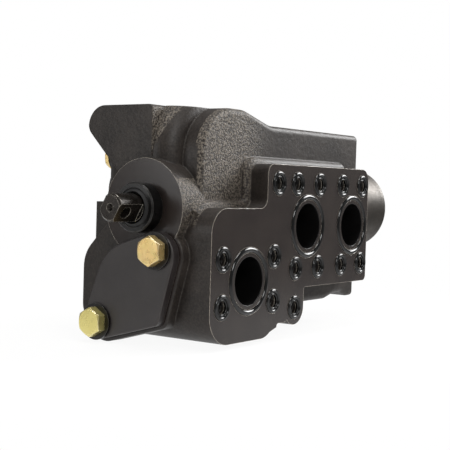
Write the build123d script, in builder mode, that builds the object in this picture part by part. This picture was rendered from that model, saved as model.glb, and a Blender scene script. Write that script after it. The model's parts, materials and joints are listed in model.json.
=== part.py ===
from build123d import *
import math
import os

os.makedirs("parts", exist_ok=True)

# Axes: X along the spool towards the spring cap, -Y out of the port face, +Z up, millimetres.
# The origin is the centre of port 1 on the machined port face.

# Port face: three flanged ports of 1 1/4 inch size, flange pattern 58.7 x 30.2
port_bore = 32.0
flange_long = 58.7
flange_short = 30.2
upper_ports_z = 35.0
port_2_x = 72.0
port_pitch = 63.5
bolt_drill = 8.5
bolt_hole_depth = 17.0
aux_top_x = 33.0
aux_low_z = -21.5
port_floor_gap = 2.0

# Face seals of the ports and round the bolt holes
port_ring_bore = 37.7
port_ring_section = 3.5
bolt_ring_bore = 11.4
bolt_ring_section = 2.6
ring_proud = 1.2
groove_gap = 0.15

# Port pad: how far its edges lie outside the bolt holes or the port centres
pad_depth = 18.5
lobe_side_margin = 12.85
lobe_top = 47.5
lobe_drop = 39.3
pad_left_margin = 13.8
pad_top_margin = 12.95
pad_right_margin = 9.3
pad_drop = 43.0
ear_radius = 12.0
ear_foot_length = 22.0
ear_foot_drop = 9.3
ramp_height = 6.0
pad_root = 6.0
lobe_corner_radius = 16.0
pad_corner_radius = 7.0
pad_blend_radius = 4.5
lobe_width = 76.0

# Spool line
spool_y = 49.0
spool_z = 46.2
spool_diameter = 28.0
rod_diameter = 18.0
running_gap = 0.03
slide_gap = 0.05
seal_gap = 0.1
cavity_radius = 21.0
cavity_width = 24.0
groove_radius = 9.0
spool_stroke = 12.0
tang_end_x = -82.0
tang_flats = 12.8
tang_flat_length = 21.0
tang_pin_hole = 8.2
tang_pin_inset = 8.5
tang_chamfer = 1.2
spool_chamfer = 0.6
centre_radius = 2.6
centre_depth = 3.0
closing_lap = 4.0
opening_lap = 4.5
bridge_lap = 1.5
groove_length = 28.0
notch_radius = 3.0
notch_count = 4

# Castings
boss_face_x = -50.0
boss_radius = 31.8
boss_root = 5.0
wing_face_x = -46.0
wing_step = 0.5
wing_front_y = 47.0
wing_back_y = 102.0
wing_end_height = 16.0
wing_heel_y = 70.0
wing_heel_z = 64.0
wing_length = 51.0
shoulder_x = -31.0
shoulder_radius = 34.0
casting_top = 113.0
gallery_top = 104.4
casting_bottom = -22.6
casting_end_x = 176.0
casting_back_y = 107.0
casting_upper_back_y = 101.0
rear_waist_low = 80.0
rear_waist_high = 88.0
gallery_radius = 10.0
gallery_y = 72.0
gallery_roof = 8.4
gallery_end_wall = 10.0
drop_radius = 8.0
drop_y = 59.0
blend_radius = 14.0
front_edge_radius = 4.0
rear_corner_radius = 22.0
rear_corner_z = 48.5
top_slope_start = 18.0
top_slope_end = 50.0
foot_width = 8.0
foot_slope = 10.0
foot_height = 4.0
underside_slope = 12.0
underside_run = 13.0
underside_rise = 3.0
ramp_end_x = 15.0
rear_step = 23.0
rear_step_z = 13.2
rear_slope_rise = 24.0

# Front seal retainer in the boss
retainer_face_x = -60.0
retainer_radius = 16.0
retainer_spigot = 14.0
retainer_length = 20.0
wiper_width = 5.0
wiper_radius = 12.6
rod_seal_width = 5.0
rod_seal_inset = 6.0
rod_seal_slot = 0.9
rod_seal_slot_depth = 1.5
retainer_edge = 0.8
wiper_lip = 1.2
wiper_lip_height = 1.4
wiper_inset = 0.5
rod_seal_radius = 12.0

# Spring cap
cap_length = 49.0
cap_radius = 32.2
cap_cavity_radius = 16.5
cap_floor = 9.0
cap_spigot_radius = 18.8
cap_spigot_length = 3.2
cap_seal_section = 2.62
cap_spigot_end_gap = 0.1
ring_squeeze_gap = 0.38
cap_screw_circle = 25.5
cap_screw_size = 6.0
cap_screw_head = 10.0
cap_screw_head_height = 6.0
cap_screw_socket = 5.0
cap_screw_grip = 11.0
screw_gap = 0.3
cap_screw_sink = 0.6
cap_edge = 1.5
cap_floor_chamfer = 2.0

# Return spring
spring_wire = 3.0
spring_radius = 12.5
spring_turns = 5
seat_radius = 15.5
seat_flange = 3.0
seat_hub_radius = 10.0
seat_hub_length = 6.0
spring_gap = 0.3
spring_side_gap = 0.5
seat_bore_gap = 0.3
stop_gap = 0.3
stop_room = 1.0
stop_screw_radius = 5.0
stop_screw_thread = 8.0
stop_screw_grip = 14.0
stop_screw_head_radius = 8.0
stop_screw_head_height = 5.0
stop_screw_socket = 8.0
seat_hub_taper = 1.0

# Check valve behind the left cover plate; the plate's corners are given from its bolts
cover_y = 57.2
cover_z = -4.8
cover_bolt_y = 24.1
cover_bolt_z = 24.5
cover_thickness = 6.0
cover_boss_margin = 2.4
cover_boss_root = 4.0
cover_boss_edge = 1.6
cover_edge_radius = 1.0
cover_quadrants = [(-1, 1), (1, 1), (1, -1), (-1, -1)]
cover_corners = [(-20.8, 19.3), (-5.2, -1.2), (19.0, -17.6), (-2.7, 2.0)]
cover_corner_radii = [15, 33, 13, 5]
chamber_radius = 17.0
chamber_end_x = 42.0
chamber_end_wall = 2.0
bridge_radius = 6.0
bridge_width = 14.0
seat_bore_radius = 11.0
check_travel = 7.0
valve_seat_x = 24.0
valve_seat_length = 8.0
valve_seat_bore = 9.5
valve_seat_chamfer = 3.0
poppet_guide = 18.5
poppet_pocket = 14.0
poppet_stem_radius = 7.0
poppet_rim = 2.5
seat_contact_gap = 0.3
travel_gap = 0.5
check_spring_wire = 2.0
check_spring_radius = 9.0
check_spring_turns = 5
cover_ring_section = 2.62
cover_spigot = 8.0

# Relief valve behind the rear cover
rear_x = 13.0
rear_z = 56.0
rear_boss_height = 3.0
rear_boss_root = 14.0
rear_cover_thickness = 6.0
rear_bolt_x = 10.0
rear_bolt_z = 24.0
rear_chamber_radius = 13.0
rear_throat_radius = 8.0
rear_seat_wall = 6.0
rear_ear_radius = 13.0
rear_disc_radius = 23.0
rear_web_width = 23.0
rear_spigot = 8.0
relief_pocket = 14.0
relief_nose_length = 2.5
relief_cone_length = 3.0
relief_travel = 4.0
relief_spring_wire = 2.4
relief_spring_radius = 7.0
relief_spring_turns = 4

# Gallery plug
plug_length = 12.0
plug_socket = 10.0
plug_socket_depth = 6.0

# Hexagon bolts and washers, M10
bolt_size = 10.0
bolt_head_flats = 17.0
bolt_head_height = 6.4
bolt_face_radius = 8.1
bolt_grip = 16.0
tap_runout = 2.0
washer_diameter = 24.0
washer_thickness = 1.6
bolt_clearance = 11.0

# Places on the port face
port_3_x = port_2_x + port_pitch
half_long = flange_long / 2
half_short = flange_short / 2
aux_low_x = port_2_x - half_short
port_places = [(0, 0), (port_2_x, upper_ports_z), (port_3_x, upper_ports_z)]
bolt_reach = [(half_long, half_short), (half_short, half_long), (half_short, half_long)]
bolt_places = [
    (px + sx * dx, pz + sz * dz)
    for (px, pz), (dx, dz) in zip(port_places, bolt_reach)
    for sx in (-1, 1)
    for sz in (-1, 1)
]
bolt_places.append((aux_top_x, upper_ports_z + half_long))
bolt_places.append((aux_low_x, aux_low_z))
port_groove_inner = port_ring_bore / 2 - groove_gap
port_groove_outer = port_ring_bore / 2 + port_ring_section + groove_gap
port_groove_depth = port_ring_section - ring_proud
port_ring_radius = (port_ring_bore + port_ring_section) / 2
bolt_seat_radius = bolt_ring_bore / 2 + bolt_ring_section + groove_gap
bolt_seat_depth = bolt_ring_section - ring_proud
bolt_ring_radius = (bolt_ring_bore + bolt_ring_section) / 2

# Edges of the pad and of the castings
pad_left_x = aux_top_x - pad_left_margin
pad_right_x = port_3_x + half_short + pad_right_margin
pad_top = upper_ports_z + half_long + pad_top_margin
pad_bottom = upper_ports_z - pad_drop
lobe_left_x = -half_long - lobe_side_margin
lobe_right_x = lobe_left_x + lobe_width
wing_top = casting_top - wing_step
shoulder_arc_z = casting_top - shoulder_radius
gallery_z = gallery_top - gallery_roof - gallery_radius
blend_start_z = spool_z + blend_radius
foot_x = casting_end_x - foot_width
underside_x = foot_x - foot_slope - underside_run
ear_side_x = aux_low_x + ear_radius

# Corner radii of the cast outlines, in the order of their points
lobe_radii = [lobe_corner_radius, 4, 18, 20]
lobe_end_radii = [0, 0, 16, 22, 8, 0]
casting_radii = [0, shoulder_radius, 25, 30, 3, 2, 4, 8, 10, 10]
casting_end_radii = [0, 12, 8, 8, 13, 0]
wing_radii = [3, 14, 9, 0, 0]
pad_radii = [lobe_corner_radius, pad_corner_radius, pad_corner_radius, 9, 4, 2, 0, 2, 2, 1, 12, 20]

# Spool line, retainer and spring cap
cap_end_x = casting_end_x + cap_length
spool_radius = spool_diameter / 2
rod_radius = rod_diameter / 2
spool_bore_radius = spool_radius + running_gap
cavities = [(rear_x, cavity_width), (chamber_end_x, bridge_width),
            (port_2_x, cavity_width), (port_3_x, cavity_width)]
upper_port_depth = spool_y - spool_radius - port_floor_gap
retainer_end_x = boss_face_x + retainer_length
rod_seal_x = boss_face_x + rod_seal_inset
retainer_pockets = [(retainer_face_x, wiper_width, wiper_radius),
                    (rod_seal_x, rod_seal_width, rod_seal_radius)]
cap_seat_radius = cap_spigot_radius + cap_seal_section + ring_squeeze_gap
cap_seat_depth = cap_spigot_length + cap_spigot_end_gap
cap_head_seat_x = cap_end_x - cap_screw_head_height - cap_screw_sink
cap_seal_radius = (cap_spigot_radius + cap_seat_radius) / 2
inner_seat_x = casting_end_x - cap_seat_depth
spool_front_x = retainer_end_x + spool_stroke + stop_room
spool_end_x = inner_seat_x - stop_gap
stop_head_x = cap_end_x - cap_floor - stop_screw_head_height - stop_room
bridge_edge_x = chamber_end_x - bridge_lap
metering_edge_x = port_2_x + cavity_width / 2 + closing_lap
spool_grooves = [(bridge_edge_x, bridge_edge_x + groove_length), (metering_edge_x, port_3_x + opening_lap)]
notch_plane_x = metering_edge_x - notch_radius

# Check valve and its cover
plate_back_x = boss_face_x
plate_face_x = plate_back_x - cover_thickness
cover_bolt_offsets = [(-cover_bolt_y, cover_bolt_z), (cover_bolt_y, -cover_bolt_z)]
ring_groove_width = cover_ring_section + ring_squeeze_gap
cover_groove_depth = cover_ring_section + 2 * slide_gap
port_1_depth = cover_y - poppet_stem_radius - port_floor_gap
seat_pocket_x = valve_seat_x + valve_seat_length
chamber_floor_x = chamber_end_x + bridge_radius + chamber_end_wall
poppet_back_x = plate_back_x + cover_spigot + check_travel + travel_gap
poppet_guide_end_x = poppet_back_x + poppet_guide
poppet_pocket_radius = check_spring_radius + check_spring_wire / 2 + spring_side_gap
cone_offset = seat_contact_gap * math.sqrt(2)

# Relief valve and its cover
rear_face_y = casting_back_y + rear_boss_height
rear_plate_face_y = rear_face_y + rear_cover_thickness
rear_seat_y = spool_y + cavity_radius + rear_seat_wall
rear_bolt_offsets = [(-rear_bolt_x, rear_bolt_z), (rear_bolt_x, -rear_bolt_z)]
relief_back_y = rear_face_y - rear_spigot - relief_travel - travel_gap
relief_pocket_radius = relief_spring_radius + relief_spring_wire / 2 + spring_side_gap
relief_throat_lip = rear_throat_radius - cone_offset

# Working planes and axes: end views look along X or -Y, half planes hold turned profiles
spool_line = Plane(origin=(0, spool_y, spool_z), x_dir=(0, 1, 0), z_dir=(1, 0, 0))
cover_line = Plane(origin=(0, cover_y, cover_z), x_dir=(0, 1, 0), z_dir=(1, 0, 0))
rear_line = Plane(origin=(rear_x, rear_face_y, rear_z), x_dir=(1, 0, 0), z_dir=(0, -1, 0))
spool_half_plane = Plane(origin=(0, spool_y, spool_z), x_dir=(1, 0, 0), z_dir=(0, -1, 0))
cover_half_plane = Plane(origin=(0, cover_y, cover_z), x_dir=(1, 0, 0), z_dir=(0, -1, 0))
rear_half_plane = Plane(origin=(rear_x, 0, rear_z), x_dir=(1, 0, 0), z_dir=(0, 0, 1))
spool_axis = Axis((0, spool_y, spool_z), (1, 0, 0))
cover_axis = Axis((0, cover_y, cover_z), (1, 0, 0))
rear_axis = Axis((rear_x, 0, rear_z), (0, 1, 0))


def write(piece, name):
    """Label a finished piece and write it as its own file."""
    piece.label = name
    export_step(piece, f"parts/{name}.step")


def cover_outline():
    """Outline of the left cover plate about its centre: two bolt ears on a rounded plate."""
    FilletPolyline(
        *[(y_sign * cover_bolt_y + dy, z_sign * cover_bolt_z + dz)
          for (y_sign, z_sign), (dy, dz) in zip(cover_quadrants, cover_corners)],
        radius=cover_corner_radii,
        close=True,
    )


def shoulder_point(angle):
    """Point on the shoulder's rounded end where it meets the wing's front wall."""
    turn = math.radians(angle)
    along = shoulder_x + shoulder_radius * (1 - math.cos(turn))
    return (along, wing_front_y, shoulder_arc_z + shoulder_radius * math.sin(turn))


def rear_outline():
    """Outline of the rear cover: a round plate with an ear at each bolt."""
    Circle(rear_disc_radius)
    for sign in (-1, 1):
        with Locations((sign * rear_bolt_x, -sign * rear_bolt_z)):
            Circle(rear_ear_radius)
    web_length = 2 * math.hypot(rear_bolt_x, rear_bolt_z)
    web_angle = -math.degrees(math.atan2(rear_bolt_z, rear_bolt_x))
    Rectangle(web_length, rear_web_width, rotation=web_angle)


# Lower casting: the port 1 lobe carried to the back, with a rounded rear shoulder
with BuildPart() as lower_casting:
    with BuildSketch(Plane.XZ):
        with BuildLine():
            FilletPolyline(
                (lobe_left_x, lobe_top),
                (lobe_right_x, lobe_top),
                (lobe_right_x, -lobe_drop),
                (lobe_left_x, -lobe_drop),
                radius=lobe_radii,
                close=True,
            )
        make_face()
    extrude(amount=-casting_back_y)
    with BuildSketch(Plane.YZ.offset(lobe_left_x)):
        with BuildLine():
            FilletPolyline(
                (0, lobe_top),
                (0, -lobe_drop),
                (casting_back_y, -lobe_drop),
                (casting_back_y, rear_step_z),
                (casting_back_y - rear_step, rear_step_z + rear_slope_rise),
                (casting_back_y - rear_step, lobe_top),
                radius=lobe_end_radii,
                close=True,
            )
        make_face()
    extrude(amount=lobe_width, mode=Mode.INTERSECT)

# Main casting: front outline with the rounded shoulder, cut to the end outline
with BuildPart() as main_casting:
    with BuildSketch(Plane.XZ.offset(-pad_depth)):
        with BuildLine():
            FilletPolyline(
                (shoulder_x, casting_bottom),
                (shoulder_x, casting_top),
                (top_slope_start, casting_top),
                (top_slope_end, gallery_top),
                (casting_end_x, gallery_top),
                (casting_end_x, casting_bottom),
                (foot_x, casting_bottom),
                (foot_x - foot_slope, casting_bottom + foot_height),
                (underside_x, casting_bottom + underside_rise),
                (underside_x - underside_slope, casting_bottom),
                radius=casting_radii,
                close=True,
            )
        make_face()
    extrude(amount=-(casting_back_y - pad_depth))
    with BuildSketch(Plane.YZ.offset(shoulder_x)):
        with BuildLine():
            FilletPolyline(
                (pad_depth, casting_bottom),
                (casting_back_y, casting_bottom),
                (casting_back_y, rear_waist_low),
                (casting_upper_back_y, rear_waist_high),
                (casting_upper_back_y, casting_top),
                (pad_depth, casting_top),
                radius=casting_end_radii,
                close=True,
            )
        make_face()
    extrude(amount=casting_end_x - shoulder_x, mode=Mode.INTERSECT)
    with BuildSketch(Plane.XY.offset(rear_corner_z)):
        with BuildLine():
            Polyline(
                (shoulder_x, casting_back_y - rear_corner_radius),
                (shoulder_x - 1, casting_back_y - rear_corner_radius),
                (shoulder_x - 1, casting_back_y + 1),
                (shoulder_x + rear_corner_radius, casting_back_y + 1),
                (shoulder_x + rear_corner_radius, casting_back_y),
            )
            RadiusArc(
                (shoulder_x + rear_corner_radius, casting_back_y),
                (shoulder_x, casting_back_y - rear_corner_radius),
                -rear_corner_radius,
            )
        make_face()
    extrude(amount=casting_top - rear_corner_z, mode=Mode.SUBTRACT)
    front_edges = main_casting.faces().sort_by(Axis.Y)[0].outer_wire().edges()
    fillet(front_edges.sort_by(Axis.X)[0], front_edge_radius)

# Concave blend from the wing's front wall round the shoulder of the main casting
with BuildPart() as wing_blend:
    with BuildLine() as blend_path:
        rise = Line((shoulder_x, wing_front_y, blend_start_z), (shoulder_x, wing_front_y, shoulder_arc_z))
        ThreePointArc(rise @ 1, shoulder_point(44), shoulder_point(88))
    with BuildSketch(Plane(origin=blend_path.line @ 0, x_dir=(-1, 0, 0), z_dir=(0, 0, 1))):
        with BuildLine():
            Polyline((0, blend_radius), (-1, blend_radius), (-1, -1), (blend_radius, -1), (blend_radius, 0))
            RadiusArc((blend_radius, 0), (0, blend_radius), -blend_radius)
        make_face()
    sweep(path=blend_path.line)
    split(bisect_by=Plane.XY.offset(wing_top), keep=Keep.BOTTOM)

# Concave blend at the foot of the pad, along the lobe's top and round the pad's upper left
with BuildPart() as pad_blend:
    with BuildLine(Plane.XZ.offset(-pad_depth)) as pad_foot:
        corner = CenterArc(
            (lobe_left_x + lobe_corner_radius, lobe_top - lobe_corner_radius), lobe_corner_radius, 135, -45
        )
        FilletPolyline(
            corner @ 1,
            (pad_left_x, lobe_top),
            (pad_left_x, pad_top),
            (pad_right_x - 2 * pad_corner_radius, pad_top),
            radius=pad_corner_radius,
        )
    with BuildSketch(Plane(origin=pad_foot.line @ 0, x_dir=(-1, 0, 1), z_dir=(1, 0, 1))):
        with BuildLine():
            Polyline(
                (0, pad_blend_radius),
                (-1, pad_blend_radius),
                (-1, -1),
                (pad_blend_radius, -1),
                (pad_blend_radius, 0),
            )
            RadiusArc((pad_blend_radius, 0), (0, pad_blend_radius), -pad_blend_radius)
        make_face()
    sweep(path=pad_foot.line)

# Raised boss under the left cover plate, rounded along its outer edge
with BuildPart() as cover_boss:
    with BuildSketch(cover_line.offset(plate_back_x)):
        with BuildLine():
            cover_outline()
        make_face()
        offset(amount=cover_boss_margin)
    extrude(amount=lobe_left_x - plate_back_x + cover_boss_root)
    fillet(cover_boss.faces().sort_by(Axis.X)[0].outer_wire().edges(), cover_boss_edge)

# Body: one casting with its machined port face, bosses, bores and galleries
with BuildPart() as body:
    add(lower_casting.part)
    add(main_casting.part)

    # Left wing, the closed end of the upper gallery
    with BuildSketch(Plane.YZ.offset(wing_face_x)):
        with BuildLine():
            FilletPolyline(
                (wing_front_y, wing_top),
                (wing_back_y, wing_top),
                (wing_back_y, wing_top - wing_end_height),
                (wing_heel_y, wing_heel_z),
                (wing_front_y, wing_heel_z),
                radius=wing_radii,
                close=True,
            )
        make_face()
    extrude(amount=wing_length)
    add(wing_blend.part)

    # Spool boss and its neck
    with BuildSketch(spool_line.offset(boss_face_x)):
        Circle(boss_radius)
    extrude(amount=shoulder_x - boss_face_x + boss_root)

    # Port pad standing out of the casting, with the ear round the low side hole
    with BuildSketch(Plane.XZ):
        with BuildLine():
            FilletPolyline(
                (lobe_left_x, lobe_top),
                (pad_left_x, lobe_top),
                (pad_left_x, pad_top),
                (pad_right_x, pad_top),
                (pad_right_x, pad_bottom),
                (ear_side_x, pad_bottom),
                (ear_side_x, aux_low_z),
                (aux_low_x - ear_radius, aux_low_z - ear_foot_drop),
                (aux_low_x - ear_foot_length, aux_low_z - ear_foot_drop),
                (aux_low_x - ear_foot_length, -lobe_drop + ramp_height),
                (ramp_end_x, -lobe_drop),
                (lobe_left_x, -lobe_drop),
                radius=pad_radii,
                close=True,
            )
        make_face()
        with Locations((aux_low_x, aux_low_z)):
            Circle(ear_radius)
    extrude(amount=-(pad_depth + pad_root))
    add(pad_blend.part)
    add(cover_boss.part)

    # Raised boss under the rear cover
    with BuildSketch(rear_line):
        rear_outline()
    extrude(amount=rear_boss_height + rear_boss_root)

    # Port bores, face seal grooves, tapped holes and their seal seats
    with BuildSketch(Plane.XZ):
        with Locations((0, 0)):
            Circle(port_bore / 2)
    extrude(amount=-port_1_depth, mode=Mode.SUBTRACT)
    with BuildSketch(Plane.XZ):
        with Locations(*port_places[1:]):
            Circle(port_bore / 2)
    extrude(amount=-upper_port_depth, mode=Mode.SUBTRACT)
    with BuildSketch(Plane.XZ):
        with Locations(*port_places):
            Circle(port_groove_outer)
            Circle(port_groove_inner, mode=Mode.SUBTRACT)
    extrude(amount=-port_groove_depth, mode=Mode.SUBTRACT)
    with BuildSketch(Plane.XZ):
        with Locations(*bolt_places):
            Circle(bolt_drill / 2)
    extrude(amount=-bolt_hole_depth, mode=Mode.SUBTRACT)
    with BuildSketch(Plane.XZ):
        with Locations(*bolt_places):
            Circle(bolt_seat_radius)
    extrude(amount=-bolt_seat_depth, mode=Mode.SUBTRACT)

    # Spool bore with its annular cavities and the spigot seat of the spring cap
    with BuildSketch(spool_half_plane):
        with Locations(((boss_face_x + casting_end_x) / 2, spool_bore_radius / 2)):
            Rectangle(casting_end_x - boss_face_x, spool_bore_radius)
        for place, width in cavities:
            with Locations((place, cavity_radius / 2)):
                Rectangle(width, cavity_radius)
        with Locations((casting_end_x - cap_seat_depth / 2, cap_seat_radius / 2)):
            Rectangle(cap_seat_depth, cap_seat_radius)
    revolve(axis=spool_axis, mode=Mode.SUBTRACT)

    # Check valve chamber, its seat pocket and the bridge up to the spool bore
    with BuildSketch(cover_half_plane):
        with Locations(((plate_back_x + seat_pocket_x) / 2, chamber_radius / 2)):
            Rectangle(seat_pocket_x - plate_back_x, chamber_radius)
        with Locations(((seat_pocket_x + chamber_floor_x) / 2, seat_bore_radius / 2)):
            Rectangle(chamber_floor_x - seat_pocket_x, seat_bore_radius)
    revolve(axis=cover_axis, mode=Mode.SUBTRACT)
    with BuildSketch(Plane.XY.offset(cover_z)):
        with Locations((chamber_end_x, spool_y)):
            Circle(bridge_radius)
    extrude(amount=spool_z - cover_z, mode=Mode.SUBTRACT)

    # Relief valve chamber from the rear and its smaller throat to the spool cavity
    with BuildSketch(rear_line):
        Circle(rear_chamber_radius)
    extrude(amount=rear_face_y - rear_seat_y, mode=Mode.SUBTRACT)
    with BuildSketch(rear_line):
        Circle(rear_throat_radius)
    extrude(amount=rear_face_y - spool_y, mode=Mode.SUBTRACT)

    # Upper gallery, open at the cap end for its plug, and its drop to the port 3 cavity
    with BuildSketch(Plane.YZ.offset(wing_face_x + gallery_end_wall)):
        with Locations((gallery_y, gallery_z)):
            Circle(gallery_radius)
    extrude(amount=casting_end_x - wing_face_x - gallery_end_wall, mode=Mode.SUBTRACT)
    with BuildSketch(Plane.XY.offset(spool_z)):
        with Locations((port_3_x, drop_y)):
            Circle(drop_radius)
    extrude(amount=gallery_z - spool_z, mode=Mode.SUBTRACT)

    # Tapped holes for the cover bolts and the cap screws
    with BuildSketch(cover_line.offset(plate_back_x)):
        with Locations(*cover_bolt_offsets):
            Circle(bolt_size / 2 + slide_gap)
    extrude(amount=bolt_grip + tap_runout, mode=Mode.SUBTRACT)
    with BuildSketch(rear_line):
        with Locations(*rear_bolt_offsets):
            Circle(bolt_size / 2 + slide_gap)
    extrude(amount=bolt_grip + tap_runout, mode=Mode.SUBTRACT)
    with BuildSketch(spool_line.offset(casting_end_x)):
        with PolarLocations(cap_screw_circle, 4, start_angle=45):
            Circle(cap_screw_size / 2 + slide_gap)
    extrude(amount=-(cap_screw_grip + tap_runout), mode=Mode.SUBTRACT)

write(body.part, "body")

# Face seals: one ring in each port groove, and a small ring round every bolt hole
for number, (px, pz) in enumerate(port_places, start=1):
    with BuildPart() as port_ring:
        with BuildSketch(Plane(origin=(px, 0, pz), x_dir=(1, 0, 0), z_dir=(0, 0, 1))):
            with Locations((port_ring_radius, port_ring_section / 2 - ring_proud)):
                Circle(port_ring_section / 2)
        revolve(axis=Axis((px, 0, pz), (0, 1, 0)))
    write(port_ring.part, f"port_{number}_face_seal")

with BuildPart() as bolt_hole_seals:
    for hx, hz in bolt_places:
        with BuildSketch(Plane(origin=(hx, 0, hz), x_dir=(1, 0, 0), z_dir=(0, 0, 1))):
            with Locations((bolt_ring_radius, bolt_ring_section / 2 - ring_proud)):
                Circle(bolt_ring_section / 2)
        revolve(axis=Axis((hx, 0, hz), (0, 1, 0)))
write(bolt_hole_seals.part, "bolt_hole_seals")

# Front seal retainer: flange and spigot round the rod, with pockets for wiper and rod seal
with BuildPart() as front_seal_retainer:
    with BuildSketch(spool_half_plane):
        with BuildLine():
            Polyline(
                (retainer_face_x, rod_radius + slide_gap),
                (retainer_face_x, retainer_radius - retainer_edge),
                (retainer_face_x + retainer_edge, retainer_radius),
                (boss_face_x, retainer_radius),
                (boss_face_x, retainer_spigot),
                (retainer_end_x - retainer_edge, retainer_spigot),
                (retainer_end_x, retainer_spigot - retainer_edge),
                (retainer_end_x, rod_radius + slide_gap),
                close=True,
            )
        make_face()
        for start, width, radius in retainer_pockets:
            with Locations((start + width / 2, radius / 2)):
                Rectangle(width, radius, mode=Mode.SUBTRACT)
    revolve(axis=spool_axis)
write(front_seal_retainer.part, "front_seal_retainer")

# Wiper with its lip at the retainer's face, and the rod seal behind it
with BuildPart() as rod_wiper:
    with BuildSketch(spool_half_plane):
        with BuildLine():
            Polyline(
                (retainer_face_x + wiper_inset, rod_radius + seal_gap),
                (retainer_face_x - wiper_lip, rod_radius + wiper_lip_height),
                (retainer_face_x + wiper_inset, wiper_radius - seal_gap),
                (retainer_face_x + wiper_width - seal_gap, wiper_radius - seal_gap),
                (retainer_face_x + wiper_width - seal_gap, rod_radius + seal_gap),
                close=True,
            )
        make_face()
    revolve(axis=spool_axis)
write(rod_wiper.part, "rod_wiper")

with BuildPart() as rod_seal:
    with BuildSketch(spool_half_plane):
        with Locations((rod_seal_x + rod_seal_width / 2, (rod_radius + rod_seal_radius) / 2)):
            Rectangle(rod_seal_width - 2 * seal_gap, rod_seal_radius - rod_radius - 2 * seal_gap)
        with Locations((rod_seal_x + rod_seal_width - seal_gap, (rod_radius + rod_seal_radius) / 2)):
            Rectangle(2 * rod_seal_slot_depth, rod_seal_slot, mode=Mode.SUBTRACT)
    revolve(axis=spool_axis)
write(rod_seal.part, "rod_seal")

# Spool: lands and grooves, metering notches, rod end with flats, pin hole and centre
with BuildPart() as spool:
    with BuildSketch(spool_half_plane):
        with BuildLine():
            Polyline(
                (tang_end_x, 0),
                (tang_end_x, rod_radius - tang_chamfer),
                (tang_end_x + tang_chamfer, rod_radius),
                (spool_front_x, rod_radius),
                (spool_front_x, spool_radius - spool_chamfer),
                (spool_front_x + spool_chamfer, spool_radius),
                (spool_end_x - spool_chamfer, spool_radius),
                (spool_end_x, spool_radius - spool_chamfer),
                (spool_end_x, 0),
                close=True,
            )
        make_face()
        for start, end in spool_grooves:
            with Locations(((start + end) / 2, (spool_radius + groove_radius) / 2)):
                Rectangle(end - start, spool_radius - groove_radius, mode=Mode.SUBTRACT)
    revolve(axis=spool_axis)
    with BuildSketch(spool_line.offset(notch_plane_x)):
        with PolarLocations(spool_radius, notch_count):
            Circle(notch_radius)
    extrude(amount=2 * notch_radius, mode=Mode.SUBTRACT)
    with BuildSketch(spool_line.offset(tang_end_x)):
        with Locations((tang_flats, 0), (-tang_flats, 0)):
            Rectangle(tang_flats, 2 * rod_diameter)
    extrude(amount=tang_flat_length, mode=Mode.SUBTRACT)
    with BuildSketch(spool_half_plane.offset(tang_flats)):
        with Locations((tang_end_x + tang_pin_inset, 0)):
            Circle(tang_pin_hole / 2)
    extrude(amount=-2 * tang_flats, mode=Mode.SUBTRACT)
    with BuildSketch(spool_half_plane):
        with BuildLine():
            Polyline((tang_end_x, 0), (tang_end_x, centre_radius), (tang_end_x + centre_depth, 0), close=True)
        make_face()
    revolve(axis=spool_axis, mode=Mode.SUBTRACT)
    with BuildSketch(spool_line.offset(spool_end_x)):
        Circle(stop_screw_thread / 2 + slide_gap)
    extrude(amount=-(stop_screw_grip + tap_runout), mode=Mode.SUBTRACT)
write(spool.part, "spool")

# Stop screw in the spool's end: shoulder shank, socket head
with BuildPart() as spool_stop_screw:
    with BuildSketch(spool_line.offset(spool_end_x)):
        Circle(stop_screw_radius)
    extrude(amount=stop_head_x - spool_end_x)
    with BuildSketch(spool_line.offset(spool_end_x)):
        Circle(stop_screw_thread / 2)
    extrude(amount=-stop_screw_grip)
    with BuildSketch(spool_line.offset(stop_head_x)):
        Circle(stop_screw_head_radius)
    extrude(amount=stop_screw_head_height)
    with BuildSketch(spool_line.offset(stop_head_x + stop_screw_head_height)):
        RegularPolygon(stop_screw_socket / 2, 6, major_radius=False)
    extrude(amount=-stop_screw_head_height / 2, mode=Mode.SUBTRACT)
write(spool_stop_screw.part, "spool_stop_screw")

# Spring seats: a flange and a hub each, the inner one on the casting, the outer on the screw
for name, flange_x, sign in (("inner_spring_seat", inner_seat_x, 1), ("outer_spring_seat", stop_head_x, -1)):
    with BuildPart() as spring_seat:
        with BuildSketch(spool_half_plane):
            with BuildLine():
                Polyline(
                    (flange_x, stop_screw_radius + seat_bore_gap),
                    (flange_x, seat_radius),
                    (flange_x + sign * seat_flange, seat_radius),
                    (flange_x + sign * seat_flange, seat_hub_radius),
                    (flange_x + sign * (seat_flange + seat_hub_length), seat_hub_radius - seat_hub_taper),
                    (flange_x + sign * (seat_flange + seat_hub_length), stop_screw_radius + seat_bore_gap),
                    close=True,
                )
            make_face()
        revolve(axis=spool_axis)
    write(spring_seat.part, name)


def coil_spring(start, length, radius, wire, turns, direction):
    """Compression spring of round wire from start along direction."""
    rise = (length - wire) / turns
    first = tuple(a + d * wire / 2 for a, d in zip(start, direction))
    with BuildPart() as coil:
        with BuildLine() as coil_path:
            Helix(rise, length - wire, radius, center=first, direction=direction)
        with BuildSketch(Plane(origin=coil_path.line @ 0, z_dir=coil_path.line % 0)):
            Circle(wire / 2)
        sweep(path=coil_path.line, is_frenet=True)
    return coil.part


return_spring = coil_spring(
    (inner_seat_x + seat_flange + spring_gap, spool_y, spool_z),
    stop_head_x - inner_seat_x - 2 * seat_flange - 2 * spring_gap,
    spring_radius,
    spring_wire,
    spring_turns,
    (1, 0, 0),
)
write(return_spring, "return_spring")

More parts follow.
